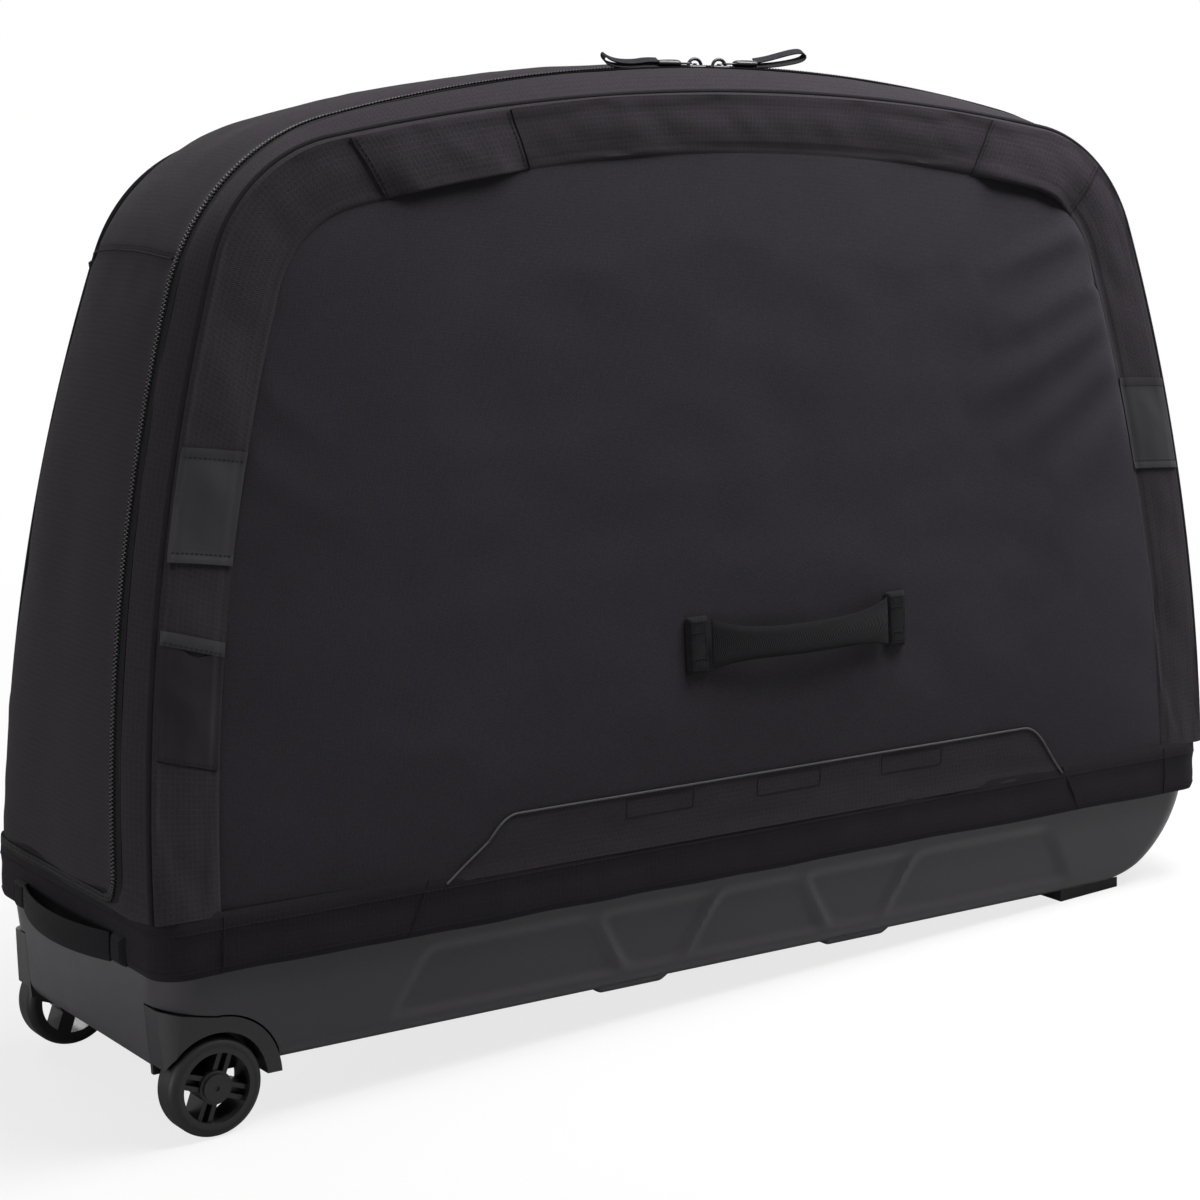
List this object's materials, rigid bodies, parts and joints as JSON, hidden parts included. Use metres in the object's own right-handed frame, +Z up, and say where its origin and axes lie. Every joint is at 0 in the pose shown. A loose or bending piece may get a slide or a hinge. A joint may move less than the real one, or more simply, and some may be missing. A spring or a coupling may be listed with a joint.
{
  "type": "bike travel case",
  "caption": "Soft-sided bike travel case: zipped arch shell on a moulded tub with wheels at one end, glide feet, webbing handles and an inner bike mount",
  "frame": {"origin": "middle of the overall box at floor level, standing on the wheels and the glide feet", "axes": "+X along the case from the wheel end to the foot end, -Y towards the pictured front, +Z up"},
  "size_m": [1.3472, 0.3921, 0.9468],
  "materials": {
    "main_fabric": "matte woven",
    "rim_fabric": "ripstop weave",
    "hem_fabric": "matte woven",
    "flap_fabric": "matte woven",
    "piping": "satin",
    "board": "plain sheet",
    "zip_tape": "woven tape",
    "zip_coil": "moulded coil",
    "zip_metal": "black enamel",
    "ferrule": "moulded",
    "ribbon": "woven ribbon",
    "webbing": "woven webbing",
    "patch": "smooth",
    "pocket": "dark window",
    "tub": "fine grain",
    "housing": "fine grain",
    "strip": "plain",
    "rivet": "satin",
    "bolt": "zinc plated",
    "rail": "anodised",
    "axle": "turned",
    "bearing": "ground",
    "cradle": "moulded",
    "pad": "soft",
    "tyre": "matte",
    "wheel": "satin",
    "foot": "matte"
  },
  "bodies": {
    "base": {"base_tub": "tub", "rim_strip": "strip", "rim_rivets": "rivet", "hem_band": "hem_fabric", "hinge_binding": "hem_fabric", "mount_rail": "rail", "rail_bolts": "bolt", "fork_mount": "rail", "fork_axle": "axle", "bracket_cradle": "cradle", "cradle_pad": "pad", "wheel_housing_front": "housing", "wheel_housing_rear": "housing", "axle_front": "axle", "axle_rear": "axle", "axle_spacer_front": "axle", "axle_spacer_rear": "axle", "axle_nuts": "bolt", "glide_foot_front": "foot", "glide_foot_rear": "foot", "front_rim": "rim_fabric", "front_panel": "main_fabric", "front_board": "board", "front_piping": "piping", "front_gusset": "rim_fabric", "front_zip_tape": "zip_tape", "front_zip_coil": "zip_coil", "front_flap": "flap_fabric", "rim_patches": "patch", "document_pocket": "pocket", "grip_left": "rim_fabric", "grip_right": "rim_fabric", "handle_anchors": "webbing", "end_handle_tabs": "webbing"},
    "door": {"rear_zip_coil": "zip_coil", "rear_zip_tape": "zip_tape", "rear_gusset": "rim_fabric", "rear_piping": "piping", "rear_panel": "main_fabric", "rear_board": "board"},
    "wheel_front": {"tyre_front": "tyre", "wheel_core_front": "wheel", "bearings_front": "bearing", "hub_cap_front": "wheel"},
    "wheel_rear": {"tyre_rear": "tyre", "wheel_core_rear": "wheel", "bearings_rear": "bearing", "hub_cap_rear": "wheel"},
    "slider_left": {"zip_slider_left": "zip_metal"},
    "slider_right": {"zip_slider_right": "zip_metal"},
    "pull_left": {"zip_pull_left": "ferrule", "pull_loop_left": "ribbon"},
    "pull_right": {"zip_pull_right": "ferrule", "pull_loop_right": "ribbon"},
    "carry_handle": {"front_handle": "webbing"},
    "end_strap_left": {"end_handle_left": "webbing"},
    "end_strap_right": {"end_handle_right": "webbing"}
  },
  "joints": [
    {"name": "wheel_front_spin", "type": "hinge", "parent": "base", "child": "wheel_front", "pos_m": [-0.59625, -0.14909, 0.0475], "axis": [0, 1, 0], "continuous": true},
    {"name": "wheel_rear_spin", "type": "hinge", "parent": "base", "child": "wheel_rear", "pos_m": [-0.59625, 0.16491, 0.0475], "axis": [0, 1, 0], "continuous": true},
    {"name": "door_fold", "type": "hinge", "parent": "base", "child": "door", "pos_m": [0.00189, 0.19371, 0.18697], "axis": [-0.9989, 0, 0.0465], "range_deg": [0, 100]},
    {"name": "slider_left_travel", "type": "hinge", "parent": "door", "child": "slider_left", "pos_m": [-0.0515, -0.20935, -0.95928], "axis": [0.0035, -0.9972, 0.0742], "range_deg": [0, 9]},
    {"name": "pull_left_lift", "type": "hinge", "parent": "slider_left", "child": "pull_left", "pos_m": [0.04391, -0.0678, 0.93863], "axis": [-0.0035, 0.9972, -0.0742], "range_deg": [0, 85]},
    {"name": "slider_right_travel", "type": "hinge", "parent": "door", "child": "slider_right", "pos_m": [-0.0515, -0.20935, -0.95928], "axis": [-0.0035, 0.9972, -0.0742], "range_deg": [0, 9]},
    {"name": "pull_right_lift", "type": "hinge", "parent": "slider_right", "child": "pull_right", "pos_m": [0.08385, -0.06783, 0.93634], "axis": [0.0035, -0.9972, 0.0742], "range_deg": [0, 85]},
    {"name": "carry_handle_flex", "type": "hinge", "parent": "base", "child": "carry_handle", "pos_m": [0.07553, -0.1678, 0.37085], "axis": [0.9989, 0, -0.0465], "range_deg": [-12, 12]},
    {"name": "end_strap_left_flex", "type": "hinge", "parent": "base", "child": "end_strap_left", "pos_m": [-0.65499, 0.00791, 0.17687], "axis": [0, 1, 0], "range_deg": [-12, 12]},
    {"name": "end_strap_right_flex", "type": "hinge", "parent": "base", "child": "end_strap_right", "pos_m": [0.65499, 0.00791, 0.11585], "axis": [0, 1, 0], "range_deg": [-12, 12]}
  ]
}
